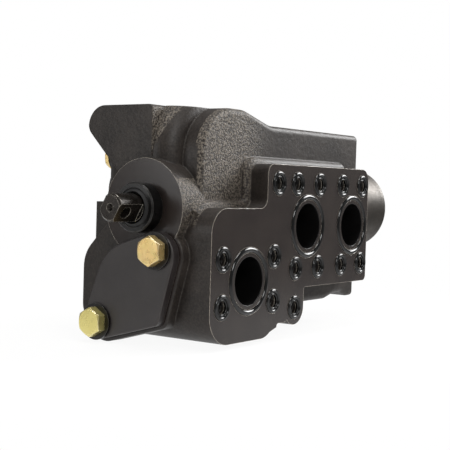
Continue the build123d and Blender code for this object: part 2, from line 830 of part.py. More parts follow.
# Spring cap: closed light-metal cylinder with a spigot and four recessed screw holes
with BuildPart() as spring_cap:
    with BuildSketch(spool_half_plane):
        with BuildLine():
            Polyline(
                (casting_end_x - cap_spigot_length, cap_cavity_radius),
                (casting_end_x - cap_spigot_length, cap_spigot_radius),
                (casting_end_x, cap_spigot_radius),
                (casting_end_x, cap_radius),
                (cap_end_x - cap_edge, cap_radius),
                (cap_end_x, cap_radius - cap_edge),
                (cap_end_x, 0),
                (cap_end_x - cap_floor, 0),
                (cap_end_x - cap_floor, cap_cavity_radius - cap_floor_chamfer),
                (cap_end_x - cap_floor - cap_floor_chamfer, cap_cavity_radius),
                close=True,
            )
        make_face()
    revolve(axis=spool_axis)
    with BuildSketch(spool_line.offset(cap_end_x)):
        with PolarLocations(cap_screw_circle, 4, start_angle=45):
            Circle(cap_screw_size / 2 + screw_gap)
    extrude(amount=-(cap_end_x - casting_end_x), mode=Mode.SUBTRACT)
    with BuildSketch(spool_line.offset(cap_end_x)):
        with PolarLocations(cap_screw_circle, 4, start_angle=45):
            Circle(cap_screw_head / 2 + screw_gap)
    extrude(amount=-(cap_end_x - cap_head_seat_x), mode=Mode.SUBTRACT)
write(spring_cap.part, "spring_cap")

with BuildPart() as cap_seal:
    with BuildSketch(spool_half_plane):
        with Locations((casting_end_x - cap_spigot_length / 2, cap_seal_radius)):
            Circle(cap_seal_section / 2)
    revolve(axis=spool_axis)
write(cap_seal.part, "cap_seal")

# Socket head screws of the spring cap
with BuildPart() as cap_screws:
    for place in PolarLocations(cap_screw_circle, 4, start_angle=45):
        head_plane = spool_line.offset(cap_head_seat_x)
        at = (place.position.X, place.position.Y)
        with BuildSketch(head_plane):
            with Locations(at):
                Circle(cap_screw_head / 2)
        extrude(amount=cap_screw_head_height)
        with BuildSketch(head_plane.offset(cap_screw_head_height)):
            with Locations(at):
                RegularPolygon(cap_screw_socket / 2, 6, major_radius=False)
        extrude(amount=-cap_screw_head_height / 2, mode=Mode.SUBTRACT)
        with BuildSketch(head_plane):
            with Locations(at):
                Circle(cap_screw_size / 2)
        extrude(amount=-(cap_head_seat_x - casting_end_x + cap_screw_grip))
write(cap_screws.part, "cap_screws")

# Left cover plate: rounded plate with two bolt holes and a grooved spigot in the chamber
with BuildPart() as cover_plate:
    with BuildSketch(cover_line.offset(plate_face_x)):
        with BuildLine():
            cover_outline()
        make_face()
        with Locations(*cover_bolt_offsets):
            Circle(bolt_clearance / 2, mode=Mode.SUBTRACT)
    extrude(amount=cover_thickness)
    with BuildSketch(cover_half_plane):
        with Locations((plate_back_x + cover_spigot / 2, (chamber_radius - slide_gap) / 2)):
            Rectangle(cover_spigot, chamber_radius - slide_gap)
        with Locations((plate_back_x + cover_spigot / 2, chamber_radius)):
            Rectangle(ring_groove_width, 2 * cover_groove_depth, mode=Mode.SUBTRACT)
    revolve(axis=cover_axis)
    fillet(cover_plate.faces().sort_by(Axis.X)[0].outer_wire().edges(), cover_edge_radius)
write(cover_plate.part, "cover_plate")

with BuildPart() as cover_plate_seal:
    with BuildSketch(cover_half_plane):
        with Locations((plate_back_x + cover_spigot / 2, chamber_radius - cover_groove_depth / 2)):
            Circle(cover_ring_section / 2)
    revolve(axis=cover_axis)
write(cover_plate_seal.part, "cover_plate_seal")

# Rear cover: ears, round plate and grooved spigot
with BuildPart() as rear_cover:
    with BuildSketch(rear_line.offset(-rear_cover_thickness)):
        rear_outline()
        with Locations(*rear_bolt_offsets):
            Circle(bolt_clearance / 2, mode=Mode.SUBTRACT)
    extrude(amount=rear_cover_thickness)
    with BuildSketch(rear_half_plane):
        with Locations(((rear_chamber_radius - slide_gap) / 2, rear_face_y - rear_spigot / 2)):
            Rectangle(rear_chamber_radius - slide_gap, rear_spigot)
        with Locations((rear_chamber_radius, rear_face_y - rear_spigot / 2)):
            Rectangle(2 * cover_groove_depth, ring_groove_width, mode=Mode.SUBTRACT)
    revolve(axis=rear_axis)
    fillet(rear_cover.faces().sort_by(Axis.Y)[-1].outer_wire().edges(), cover_edge_radius)
write(rear_cover.part, "rear_cover")

with BuildPart() as rear_cover_seal:
    with BuildSketch(rear_half_plane):
        with Locations((rear_chamber_radius - cover_groove_depth / 2, rear_face_y - rear_spigot / 2)):
            Circle(cover_ring_section / 2)
    revolve(axis=rear_axis)
write(rear_cover_seal.part, "rear_cover_seal")

# Hexagon bolts and plain washers of both covers
cover_bolt_faces = [
    Plane(origin=(plate_face_x, cover_y + dy, cover_z + dz), x_dir=(0, 1, 0), z_dir=(-1, 0, 0))
    for dy, dz in cover_bolt_offsets
]
rear_bolt_faces = [
    Plane(origin=(rear_x + dx, rear_plate_face_y, rear_z + dz), x_dir=(1, 0, 0), z_dir=(0, 1, 0))
    for dx, dz in rear_bolt_offsets
]
bolted_covers = [
    ("cover_plate", cover_thickness, cover_bolt_faces),
    ("rear_cover", rear_cover_thickness, rear_bolt_faces),
]
for cover_name, thickness, faces in bolted_covers:
    with BuildPart() as hexagon_bolt:
        with BuildSketch():
            RegularPolygon(bolt_head_flats / 2, 6, major_radius=False, rotation=30)
        extrude(amount=bolt_head_height)
        with BuildSketch(Plane.XY.offset(bolt_head_height)):
            Circle(bolt_face_radius)
        extrude(amount=-bolt_head_height, taper=-60, mode=Mode.INTERSECT)
        with BuildSketch():
            Circle(bolt_size / 2)
        extrude(amount=-(washer_thickness + thickness + bolt_grip))
    with BuildPart() as plain_washer:
        with BuildSketch():
            Circle(washer_diameter / 2)
            Circle(bolt_clearance / 2, mode=Mode.SUBTRACT)
        extrude(amount=washer_thickness)
    with BuildPart() as bolts:
        with Locations(*[face.offset(washer_thickness).location for face in faces]):
            add(hexagon_bolt.part)
    write(bolts.part, f"{cover_name}_bolts")
    with BuildPart() as washers:
        with Locations(*[face.location for face in faces]):
            add(plain_washer.part)
    write(washers.part, f"{cover_name}_washers")

# Check valve: pressed-in seat ring, cone poppet guided behind port 1, and its spring
with BuildPart() as check_valve_seat:
    with BuildSketch(cover_half_plane):
        with BuildLine():
            Polyline(
                (valve_seat_x, valve_seat_bore + valve_seat_chamfer),
                (valve_seat_x, chamber_radius - slide_gap),
                (seat_pocket_x, chamber_radius - slide_gap),
                (seat_pocket_x, valve_seat_bore),
                (valve_seat_x + valve_seat_chamfer, valve_seat_bore),
                close=True,
            )
        make_face()
    revolve(axis=cover_axis)
write(check_valve_seat.part, "check_valve_seat")

with BuildPart() as check_poppet:
    with BuildSketch(cover_half_plane):
        with BuildLine():
            Polyline(
                (poppet_back_x + poppet_pocket, 0),
                (poppet_back_x + poppet_pocket, poppet_pocket_radius),
                (poppet_back_x, poppet_pocket_radius),
                (poppet_back_x, chamber_radius - slide_gap),
                (poppet_guide_end_x, chamber_radius - slide_gap),
                (poppet_guide_end_x, poppet_stem_radius),
                (valve_seat_x - cone_offset - poppet_rim, poppet_stem_radius),
                (valve_seat_x - cone_offset - poppet_rim, valve_seat_bore + valve_seat_chamfer),
                (valve_seat_x - cone_offset, valve_seat_bore + valve_seat_chamfer),
                (valve_seat_x + valve_seat_chamfer, valve_seat_bore - cone_offset),
                (valve_seat_x + valve_seat_chamfer, 0),
                close=True,
            )
        make_face()
    revolve(axis=cover_axis)
write(check_poppet.part, "check_poppet")

check_spring = coil_spring(
    (plate_back_x + cover_spigot + spring_gap, cover_y, cover_z),
    poppet_back_x + poppet_pocket - plate_back_x - cover_spigot - 2 * spring_gap,
    check_spring_radius,
    check_spring_wire,
    check_spring_turns,
    (1, 0, 0),
)
write(check_spring, "check_spring")

# Relief valve: cone poppet on the throat of the rear chamber, and its spring
with BuildPart() as relief_poppet:
    with BuildSketch(rear_half_plane):
        with BuildLine():
            Polyline(
                (0, relief_back_y - relief_pocket),
                (relief_pocket_radius, relief_back_y - relief_pocket),
                (relief_pocket_radius, relief_back_y),
                (rear_chamber_radius - slide_gap, relief_back_y),
                (rear_chamber_radius - slide_gap, rear_seat_y + relief_cone_length),
                (relief_throat_lip + relief_cone_length, rear_seat_y + relief_cone_length),
                (relief_throat_lip - relief_nose_length, rear_seat_y - relief_nose_length),
                (0, rear_seat_y - relief_nose_length),
                close=True,
            )
        make_face()
    revolve(axis=rear_axis)
write(relief_poppet.part, "relief_poppet")

relief_spring = coil_spring(
    (rear_x, relief_back_y - relief_pocket + spring_gap, rear_z),
    rear_face_y - rear_spigot - relief_back_y + relief_pocket - 2 * spring_gap,
    relief_spring_radius,
    relief_spring_wire,
    relief_spring_turns,
    (0, 1, 0),
)
write(relief_spring, "relief_spring")

# Socket plug that closes the upper gallery beside the spring cap
with BuildPart() as gallery_plug:
    with BuildSketch(Plane.YZ.offset(casting_end_x - plug_length)):
        with Locations((gallery_y, gallery_z)):
            Circle(gallery_radius - slide_gap)
    extrude(amount=plug_length)
    with BuildSketch(Plane.YZ.offset(casting_end_x)):
        with Locations((gallery_y, gallery_z)):
            RegularPolygon(plug_socket / 2, 6, major_radius=False)
    extrude(amount=-plug_socket_depth, mode=Mode.SUBTRACT)
write(gallery_plug.part, "gallery_plug")
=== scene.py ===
"""Looks of a hydraulic control valve: finishes, rims and threads of its bolt holes, studio and camera."""

import json
import logging
import math
from dataclasses import dataclass
from enum import Enum

import bmesh
import bpy
from mathutils import Matrix, Vector


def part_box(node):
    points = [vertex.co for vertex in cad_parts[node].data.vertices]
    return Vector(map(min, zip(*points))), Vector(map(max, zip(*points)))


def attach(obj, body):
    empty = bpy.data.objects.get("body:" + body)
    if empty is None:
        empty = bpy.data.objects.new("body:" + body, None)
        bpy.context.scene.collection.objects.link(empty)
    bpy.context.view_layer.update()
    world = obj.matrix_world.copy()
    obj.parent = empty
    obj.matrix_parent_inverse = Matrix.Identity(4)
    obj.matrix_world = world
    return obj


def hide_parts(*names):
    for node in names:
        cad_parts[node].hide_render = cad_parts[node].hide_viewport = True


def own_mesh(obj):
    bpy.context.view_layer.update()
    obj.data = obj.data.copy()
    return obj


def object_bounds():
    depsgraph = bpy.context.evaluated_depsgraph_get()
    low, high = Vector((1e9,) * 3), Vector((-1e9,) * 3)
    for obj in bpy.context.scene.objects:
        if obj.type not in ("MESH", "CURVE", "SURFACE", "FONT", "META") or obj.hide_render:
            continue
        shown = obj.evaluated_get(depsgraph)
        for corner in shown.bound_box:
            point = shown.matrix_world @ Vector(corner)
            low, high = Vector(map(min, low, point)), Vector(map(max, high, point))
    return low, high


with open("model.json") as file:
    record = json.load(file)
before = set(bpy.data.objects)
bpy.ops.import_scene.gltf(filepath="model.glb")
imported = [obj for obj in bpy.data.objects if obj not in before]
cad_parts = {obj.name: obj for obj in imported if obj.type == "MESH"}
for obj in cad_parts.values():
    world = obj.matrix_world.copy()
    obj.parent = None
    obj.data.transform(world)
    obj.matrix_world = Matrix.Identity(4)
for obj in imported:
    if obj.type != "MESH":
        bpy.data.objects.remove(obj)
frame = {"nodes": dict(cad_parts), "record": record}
CAD_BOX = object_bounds()

MM = 0.001
log = logging.getLogger("valve")

# Tapped holes of the M10 bolts and a point of the spool's axis, in millimetres
TAP_RADIUS = 4.25
TAP_DEPTH = 17.0
SPOOL_AXIS = (0.0, 49.0, 46.2)

# Sockets of a Mix node that mixes colours, and of one that mixes vectors
COLOUR_A, COLOUR_B, COLOUR = 6, 7, 2
VECTOR_A, VECTOR_B, VECTOR = 4, 5, 1

# Spacing of a wave texture's bands at a scale of 1, and how much of a noise each finer octave keeps
WAVE_SPACING = 2 * math.pi / 20
OCTAVE_SHARE = 0.6


def linear(hex_colour: str) -> tuple[float, float, float, float]:
    """Turn an sRGB hex colour into the linear RGBA that a shader socket takes.

    Args:
        hex_colour: Six hex digits, such as "4a4643".

    Returns:
        Linear red, green, blue and an alpha of 1.
    """
    channels = [int(hex_colour[i:i + 2], 16) / 255 for i in (0, 2, 4)]
    red, green, blue = (c / 12.92 if c <= 0.04045 else ((c + 0.055) / 1.055) ** 2.4 for c in channels)
    return (red, green, blue, 1.0)


def add_node(
    tree: bpy.types.NodeTree, kind: str, inputs: dict | None = None, **settings: object
) -> bpy.types.Node:
    """Add one shader node with its settings and inputs.

    Args:
        tree: The node tree of a material or world.
        kind: The node's type name.
        inputs: Socket name or index to a constant, to an output socket that feeds it, or to a
            node whose first output feeds it.
        **settings: Attributes of the node itself.

    Returns:
        The new node.
    """
    node = tree.nodes.new(kind)
    for name, setting in settings.items():
        setattr(node, name, setting)
    for socket, value in (inputs or {}).items():
        if isinstance(value, bpy.types.Node):
            value = value.outputs[0]
        if isinstance(value, bpy.types.NodeSocket):
            tree.links.new(value, node.inputs[socket])
        else:
            node.inputs[socket].default_value = value
    return node


class Grain(Enum):
    """Irregular marks of each way of making: their width in millimetres and octaves of detail.

    Sand grains, blast marks under plating and the flecks along the pale edges, partly abrasion
    and partly painted highlight, are finer on the real valve.
    """

    SAND = (1.3, 3.0)
    FINE_SAND = (0.7, 3.0)
    SKIN = (3.5, 2.0)
    PLATING = (1.1, 3.0)
    EDGE_FLECKS = (2.5, 3.0)
    SHEEN = (4.0, 3.0)
    TURNED_SHEEN = (5.0, 3.0)
    TINT = (7.0, 2.0)
    STAIN = (24.0, 5.0)
    WIPE = (30.0, 5.0)

    def inputs(self, place: bpy.types.Node) -> dict:
        """Inputs of a noise texture whose blobs are as wide as the marks."""
        width, octaves = self.value
        return {"Vector": place, "Scale": 1 / width, "Detail": octaves, "Roughness": OCTAVE_SHARE}


class Contrast(Enum):
    """Noise values between which a mark goes from none to full."""

    SOFT = (0.35, 0.65)
    SPREAD = (0.3, 0.7)
    GRAIN = (0.42, 0.62)
    TINT = (0.4, 0.62)
    EDGE_FLECKS = (0.35, 0.6)


class Feed(Enum):
    """Spacing in millimetres of a cutter's lines, wider than the real feed so that they show."""

    MILL = 0.50265
    LATHE = 0.45


@dataclass(frozen=True)
class Finish:
    """A finish of the valve: makes one material.

    Attributes:
        name: The material's name.
        slot: The record's material slot that it dresses, or the one node.
        dark: Colour in the stained patches, as sRGB hex.
        light: Colour between them.
        worn_and_lit: Colour along the edges, partly abrasion where the skin is thin and partly painted
            highlight.
        roughness: Micro-roughness of the surface.
        edge: Radius in millimetres of the broken edges.
        worn_and_lit_share: How much of that abraded and lit colour shows along them.
        depth: Height in millimetres of the marks.
        metallic: 1 for bare metal or plating, 0 for paint, rubber and phosphate.
        patchy: Shares of the roughness between which it varies from patch to patch.
        edge_turn: Cosines of the rounded normal's turn at which the pale edge colour begins and is full.
        between_flecks: Share of the pale edge colour that is left between its flecks.
        edge_samples: Samples of each rounded edge.
    """

    name: str
    slot: str
    dark: str
    light: str
    worn_and_lit: str
    roughness: float
    edge: float
    worn_and_lit_share: float
    depth: float
    metallic: float = 0.0
    patchy: tuple[float, float] = (0.8, 1.2)
    edge_turn: tuple[float, float] = (0.999, 0.9)
    between_flecks: float = 0.45
    edge_samples: int = 4

    def start(self) -> tuple[bpy.types.Material, bpy.types.NodeTree, bpy.types.Node, bpy.types.Node]:
        """Make an empty material with its surface shader.

        Returns:
            The material, its node tree, its surface shader and its coordinates in millimetres,
            the same frame as the valve's own.
        """
        material = bpy.data.materials.new(self.name)
        material.use_nodes = True
        tree = material.node_tree
        tree.nodes.clear()
        shader = add_node(tree, "ShaderNodeBsdfPrincipled", {"Metallic": self.metallic})
        add_node(tree, "ShaderNodeOutputMaterial", {"Surface": shader})
        metres = add_node(tree, "ShaderNodeTexCoord").outputs["Object"]
        place = add_node(tree, "ShaderNodeVectorMath", {0: metres, 1: (1 / MM,) * 3}, operation="MULTIPLY")
        return material, tree, shader, place

    def stained(self, tree: bpy.types.NodeTree, place: bpy.types.Node) -> bpy.types.NodeSocket:
        """Mix the dark and light colour in soft patches, as oil and handling leave them.

        Args:
            tree: The node tree.
            place: Coordinates in millimetres.

        Returns:
            The mixed colour.
        """
        stains = add_node(tree, "ShaderNodeTexNoise", Grain.STAIN.inputs(place))
        none, full = Contrast.SOFT.value
        patches = add_node(tree, "ShaderNodeMapRange", {0: stains, 1: none, 2: full})
        shades = {0: patches, COLOUR_A: linear(self.dark), COLOUR_B: linear(self.light)}
        return add_node(tree, "ShaderNodeMix", shades, data_type="RGBA").outputs[COLOUR]

    def edges(
        self, tree: bpy.types.NodeTree, rounded: bpy.types.Node, place: bpy.types.Node
    ) -> bpy.types.NodeSocket:
        """Share of abrasion and painted highlight, which rises where the rounded normal turns away from the
        face, in flecks.

        Args:
            tree: The node tree.
            rounded: Normal of the surface with its edges rounded.
            place: Coordinates in millimetres.

        Returns:
            A factor from 0 on the faces up to the finish's worn_and_lit_share on the edges.
        """
        face = add_node(tree, "ShaderNodeNewGeometry").outputs["Normal"]
        facing = add_node(tree, "ShaderNodeVectorMath", {0: rounded, 1: face}, operation="DOT_PRODUCT")
        begins, whole = self.edge_turn
        turn = {0: facing.outputs["Value"], 1: begins, 2: whole, 3: 0.0, 4: self.worn_and_lit_share}
        turned = add_node(tree, "ShaderNodeMapRange", turn)
        edge_fleck_noise = add_node(tree, "ShaderNodeTexNoise", Grain.EDGE_FLECKS.inputs(place))
        none, full = Contrast.EDGE_FLECKS.value
        flecks = add_node(tree, "ShaderNodeMapRange", {0: edge_fleck_noise, 1: none, 2: full, 3: self.between_flecks})
        return add_node(tree, "ShaderNodeMath", {0: turned, 1: flecks}, operation="MULTIPLY").outputs[0]

    def build(self) -> bpy.types.Material:
        """Make the material."""
        raise NotImplementedError


@dataclass(frozen=True)
class SandCastIron(Finish):
    """Grey iron from a sand mould under a thin dark phosphate, with milled and turned faces.

    The mould's sand leaves coarse grain that sparkles where light grazes it, most of all on the
    shoulder, which was cast against a core and never dressed; part of that sparkle is painted, as
    lighter tips of the grain. The faces that the cutter has been over are smoother, with its fine
    lines, and their edges are broken by hand to bare iron and painted pale as highlights.

    Attributes:
        milled_dark: Colour of the cut faces under dried oil, as sRGB hex.
        milled_light: Their colour where they are wiped.
        milled_roughness: Their micro-roughness.
        milled_edge: Radius in millimetres of their edges.
        feed_height: Height of the cutter's lines, as a share of the depth of the marks.
        feed_waver: How far the lines waver.
        feed_octaves: Octaves of detail in that.
        grain_tip_and_sparkle: Colour of the tips of the grain, partly their own tone and partly painted
            sparkle.
        bore_shade: Painted shade inside the ports, a near-black colour for their walls.
        phosphate_ior: IOR of the phosphate skin, low because it is porous.
        oil: Share of clear oil film on the cut faces.
        oil_roughness: Micro-roughness of the film.
        cast_edge_share: Share of the pale edge colour, abrasion and painted highlight, that shows on edges
            away from the cut faces.
        port_face: Places along Y over which the milled port face ends.
        boss_face: Places along X over which the turned boss face ends.
        port_edge: Places along Y over which its edge of abrasion and painted highlight ends.
        boss_edge: Places along X over which its edge of abrasion and painted highlight ends.
        shoulder: Middle of the coarse casting.
        shoulder_reach: Distances from there over which the grain fades.
        front_wall: Place along Y of the walls with grain, and how far from it the grain reaches.
        facet_slope: Direction across the coarse facet at the upper left.
        facet_start: Places along that direction over which its grain begins.
        facet_back: Place along Y where its grain ends.
        facet_right: Places along X over which its grain ends.
        end_turn: X of the normal between which the dressed left end gives way to the grain.
        grain_left: Share of the grain on the rest of the casting.
        bore_wall: Radii over which the painted shade inside a port ends.
        bore_end: Places along Y over which the painted shade of the deepest passage ends.
        sand_share: Share of the sand's marks in the relief of the coarse casting.
        fine_share: Share of the finer sand's marks in it.
        skin_share: Share of the broad unevenness in the relief of the whole casting.
    """

    milled_dark: str = "211b19"
    milled_light: str = "2a2421"
    milled_roughness: float = 0.22
    milled_edge: float = 0.5
    feed_height: float = 0.012
    feed_waver: float = 1.2
    feed_octaves: float = 2.0
    grain_tip_and_sparkle: str = "6e665c"
    bore_shade: str = "0b0a0a"
    phosphate_ior: float = 1.33
    oil: float = 0.2
    oil_roughness: float = 0.2
    cast_edge_share: float = 0.05
    port_face: tuple[float, float] = (0.3, 0.6)
    boss_face: tuple[float, float] = (-49.9, -49.6)
    port_edge: tuple[float, float] = (2.2, 2.8)
    boss_edge: tuple[float, float] = (-48.4, -47.8)
    shoulder: tuple[float, float, float] = (-22.0, 20.0, 84.0)
    shoulder_reach: tuple[float, float] = (30.0, 78.0)
    front_wall: tuple[float, float] = (18.5, 5.5)
    facet_slope: tuple[float, float, float] = (0.0, 1.0, 0.33)
    facet_start: tuple[float, float] = (73.0, 74.2)
    facet_back: float = 48.0
    facet_right: tuple[float, float] = (-30.0, -24.0)
    end_turn: tuple[float, float] = (-0.99, -0.95)
    grain_left: float = 0.08
    bore_wall: tuple[float, float] = (16.15, 16.5)
    bore_end: tuple[float, float] = (84.0, 86.0)
    sand_share: float = 0.75
    fine_share: float = 0.25
    skin_share: float = 0.25
    edge_samples: int = 6

    def cut(
        self,
        tree: bpy.types.NodeTree,
        place: bpy.types.Node,
        port_side: tuple[float, float],
        boss_side: tuple[float, float],
    ) -> bpy.types.Node:
        """Tell the milled port face and the turned boss face from the casting behind them.

        Args:
            tree: The node tree.
            place: Coordinates in millimetres.
            port_side: Places along Y over which the zone of the port face ends.
            boss_side: Places along X over which the zone of the boss face ends.

        Returns:
            A factor of 1 in the two zones and 0 behind them.
        """
        x, y, _ = add_node(tree, "ShaderNodeSeparateXYZ", {0: place}).outputs
        port, boss = (
            add_node(tree, "ShaderNodeMapRange", {0: along, 1: full, 2: none, 3: 1.0, 4: 0.0})
            for along, (full, none) in ((y, port_side), (x, boss_side))
        )
        return add_node(tree, "ShaderNodeMath", {0: port, 1: boss}, operation="MAXIMUM")

    def coarse(self, tree: bpy.types.NodeTree, place: bpy.types.Node) -> bpy.types.Node:
        """Tell how much of the sand's grain shows: on the front walls and the upper left facet.

        Args:
            tree: The node tree.
            place: Coordinates in millimetres.

        Returns:
            A factor that fades away from the shoulder and is never quite 0.
        """
        x, y, _ = add_node(tree, "ShaderNodeSeparateXYZ", {0: place}).outputs
        wall_y, reach = self.front_wall
        wall = add_node(tree, "ShaderNodeMath", {0: y, 1: wall_y, 2: reach}, operation="COMPARE")
        slope = {0: place, 1: self.facet_slope}
        slant = add_node(tree, "ShaderNodeVectorMath", slope, operation="DOT_PRODUCT")
        none, full = self.facet_start
        facet = add_node(tree, "ShaderNodeMapRange", {0: slant.outputs["Value"], 1: none, 2: full})
        front = add_node(tree, "ShaderNodeMath", {0: y, 1: self.facet_back}, operation="LESS_THAN")
        full, none = self.facet_right
        left = add_node(tree, "ShaderNodeMapRange", {0: x, 1: full, 2: none, 3: 1.0, 4: 0.0})
        for limit in (front, left):
            facet = add_node(tree, "ShaderNodeMath", {0: facet, 1: limit}, operation="MULTIPLY")
        grain = add_node(tree, "ShaderNodeMath", {0: wall, 1: facet}, operation="MAXIMUM")

        away = add_node(tree, "ShaderNodeVectorMath", {0: place, 1: self.shoulder}, operation="DISTANCE")
        near, far = self.shoulder_reach
        fading = {0: away.outputs["Value"], 1: near, 2: far, 3: 1.0, 4: 0.0}
        close = add_node(tree, "ShaderNodeMapRange", fading, interpolation_type="SMOOTHSTEP")
        normal = add_node(tree, "ShaderNodeNewGeometry").outputs["Normal"]
        turned = add_node(tree, "ShaderNodeSeparateXYZ", {0: normal}).outputs["X"]
        none, full = self.end_turn
        off_end = add_node(tree, "ShaderNodeMapRange", {0: turned, 1: none, 2: full})
        for limit in (close, off_end):
            grain = add_node(tree, "ShaderNodeMath", {0: grain, 1: limit}, operation="MULTIPLY")
        return add_node(tree, "ShaderNodeMath", {0: grain, 1: self.grain_left}, operation="MAXIMUM")

    def inside(self, tree: bpy.types.NodeTree, place: bpy.types.Node) -> bpy.types.Node:
        """Tell the inside of the three ports, which is painted near-black as shade, from the faces round
        them.

        Args:
            tree: The node tree.
            place: Coordinates in millimetres.

        Returns:
            A factor of 1 inside the ports and 0 elsewhere.
        """
        full, none = self.bore_wall
        holes = 0.0
        for low, high in (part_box(f"port_{number}_face_seal") for number in (1, 2, 3)):
            centre = (low + high) / 2 / MM
            to_axis = {0: place, 1: (1, 0, 1), 2: (-centre.x, 0, -centre.z)}
            across = add_node(tree, "ShaderNodeVectorMath", to_axis, operation="MULTIPLY_ADD")
            radius = add_node(tree, "ShaderNodeVectorMath", {0: across}, operation="LENGTH").outputs["Value"]
            hole = add_node(tree, "ShaderNodeMapRange", {0: radius, 1: full, 2: none, 3: 1.0, 4: 0.0})
            holes = add_node(tree, "ShaderNodeMath", {0: holes, 1: hole}, operation="MAXIMUM")
        y = add_node(tree, "ShaderNodeSeparateXYZ", {0: place}).outputs["Y"]
        full, none = self.bore_end
        deep = add_node(tree, "ShaderNodeMapRange", {0: y, 1: full, 2: none, 3: 1.0, 4: 0.0})
        return add_node(tree, "ShaderNodeMath", {0: holes, 1: deep}, operation="MULTIPLY")

    def build(self) -> bpy.types.Material:
        """Make the material, told apart by place: cast skin, machined faces and painted shade in the bores.

        Returns:
            The material.
        """
        material, tree, shader, place = self.start()
        machined = self.cut(tree, place, self.port_face, self.boss_face)
        near_machined = self.cut(tree, place, self.port_edge, self.boss_edge)
        coarse = self.coarse(tree, place)

        # Colour of the cast skin, with lighter tips where its grain is coarse: partly the grain's tone,
        # partly painted sparkle
        sand = add_node(tree, "ShaderNodeTexNoise", Grain.SAND.inputs(place))
        none, full = Contrast.GRAIN.value
        tips = add_node(tree, "ShaderNodeMapRange", {0: sand, 1: none, 2: full})
        tips = add_node(tree, "ShaderNodeMath", {0: tips, 1: coarse}, operation="MULTIPLY")
        shades = {0: tips, COLOUR_A: self.stained(tree, place), COLOUR_B: linear(self.grain_tip_and_sparkle)}
        cast = add_node(tree, "ShaderNodeMix", shades, data_type="RGBA").outputs[COLOUR]

        # Colour of the cut faces, wiped unevenly with an oily rag
        rag = add_node(tree, "ShaderNodeTexNoise", Grain.WIPE.inputs(place))
        none, full = Contrast.SOFT.value
        wiped = add_node(tree, "ShaderNodeMapRange", {0: rag, 1: none, 2: full})
        shades = {0: wiped, COLOUR_A: linear(self.milled_dark), COLOUR_B: linear(self.milled_light)}
        milled = add_node(tree, "ShaderNodeMix", shades, data_type="RGBA").outputs[COLOUR]
        shades = {0: machined, COLOUR_A: cast, COLOUR_B: milled}
        colour = add_node(tree, "ShaderNodeMix", shades, data_type="RGBA").outputs[COLOUR]

        # Edges: soft where the mould rounded them, crisp where the cutter left them, and pale along them:
        # partly abrasion, partly painted highlight that falls in creases too
        soft, crisp = (
            add_node(tree, "ShaderNodeBevel", {"Radius": radius * MM}, samples=self.edge_samples)
            for radius in (self.edge, self.milled_edge)
        )
        normals = {0: near_machined, VECTOR_A: soft, VECTOR_B: crisp}
        blend = add_node(tree, "ShaderNodeMix", normals, data_type="VECTOR").outputs[VECTOR]
        rounded = add_node(tree, "ShaderNodeVectorMath", {0: blend}, operation="NORMALIZE")
        # Painted highlight and abrasion: pale colour along convex edges and concave creases alike
        worn_and_lit = self.edges(tree, rounded, place)
        share = add_node(tree, "ShaderNodeMapRange", {0: near_machined, 3: self.cast_edge_share, 4: 1.0})
        share = add_node(tree, "ShaderNodeMath", {0: share, 1: worn_and_lit}, operation="MULTIPLY")
        shades = {0: share, COLOUR_A: colour, COLOUR_B: linear(self.worn_and_lit)}
        colour = add_node(tree, "ShaderNodeMix", shades, data_type="RGBA").outputs[COLOUR]
        # Painted shade: the walls inside the three ports are darkened nearly to black
        shades = {0: self.inside(tree, place), COLOUR_A: colour, COLOUR_B: linear(self.bore_shade)}
        colour = add_node(tree, "ShaderNodeMix", shades, data_type="RGBA").outputs[COLOUR]
        tree.links.new(colour, shader.inputs["Base Color"])

        # Matt phosphate on the casting, a clear oil film on the cut faces
        micro = {0: machined, 3: self.roughness, 4: self.milled_roughness}
        rough = add_node(tree, "ShaderNodeMapRange", micro)
        tree.links.new(rough.outputs[0], shader.inputs["Roughness"])
        film = add_node(tree, "ShaderNodeMath", {0: machined, 1: self.oil}, operation="MULTIPLY")
        tree.links.new(film.outputs[0], shader.inputs["Coat Weight"])
        shader.inputs["Coat Roughness"].default_value = self.oil_roughness
        shader.inputs["IOR"].default_value = self.phosphate_ior

        # Relief: grain of the sand and broad unevenness on the casting, feed lines on the faces
        fine = add_node(tree, "ShaderNodeTexNoise", Grain.FINE_SAND.inputs(place))
        uneven = add_node(tree, "ShaderNodeTexNoise", Grain.SKIN.inputs(place))
        relief = add_node(tree, "ShaderNodeMath", {0: sand, 1: self.sand_share}, operation="MULTIPLY")
        added = {0: fine, 1: self.fine_share, 2: relief}
        relief = add_node(tree, "ShaderNodeMath", added, operation="MULTIPLY_ADD")
        relief = add_node(tree, "ShaderNodeMath", {0: relief, 1: coarse}, operation="MULTIPLY")
        added = {0: uneven, 1: self.skin_share, 2: relief}
        relief = add_node(tree, "ShaderNodeMath", added, operation="MULTIPLY_ADD")
        feed = {
            "Vector": place, "Scale": WAVE_SPACING / Feed.MILL.value,
            "Distortion": self.feed_waver, "Detail": self.feed_octaves,
        }
        lines = add_node(tree, "ShaderNodeTexWave", feed, bands_direction="Z").outputs["Fac"]
        lines = add_node(tree, "ShaderNodeMath", {0: lines, 1: self.feed_height}, operation="MULTIPLY")
        height = add_node(tree, "ShaderNodeMix", {0: machined, 2: relief, 3: lines}, data_type="FLOAT")
        marks = {"Strength": 1.0, "Distance": self.depth * MM, "Height": height, "Normal": rounded}
        tree.links.new(add_node(tree, "ShaderNodeBump", marks).outputs[0], shader.inputs["Normal"])
        return material


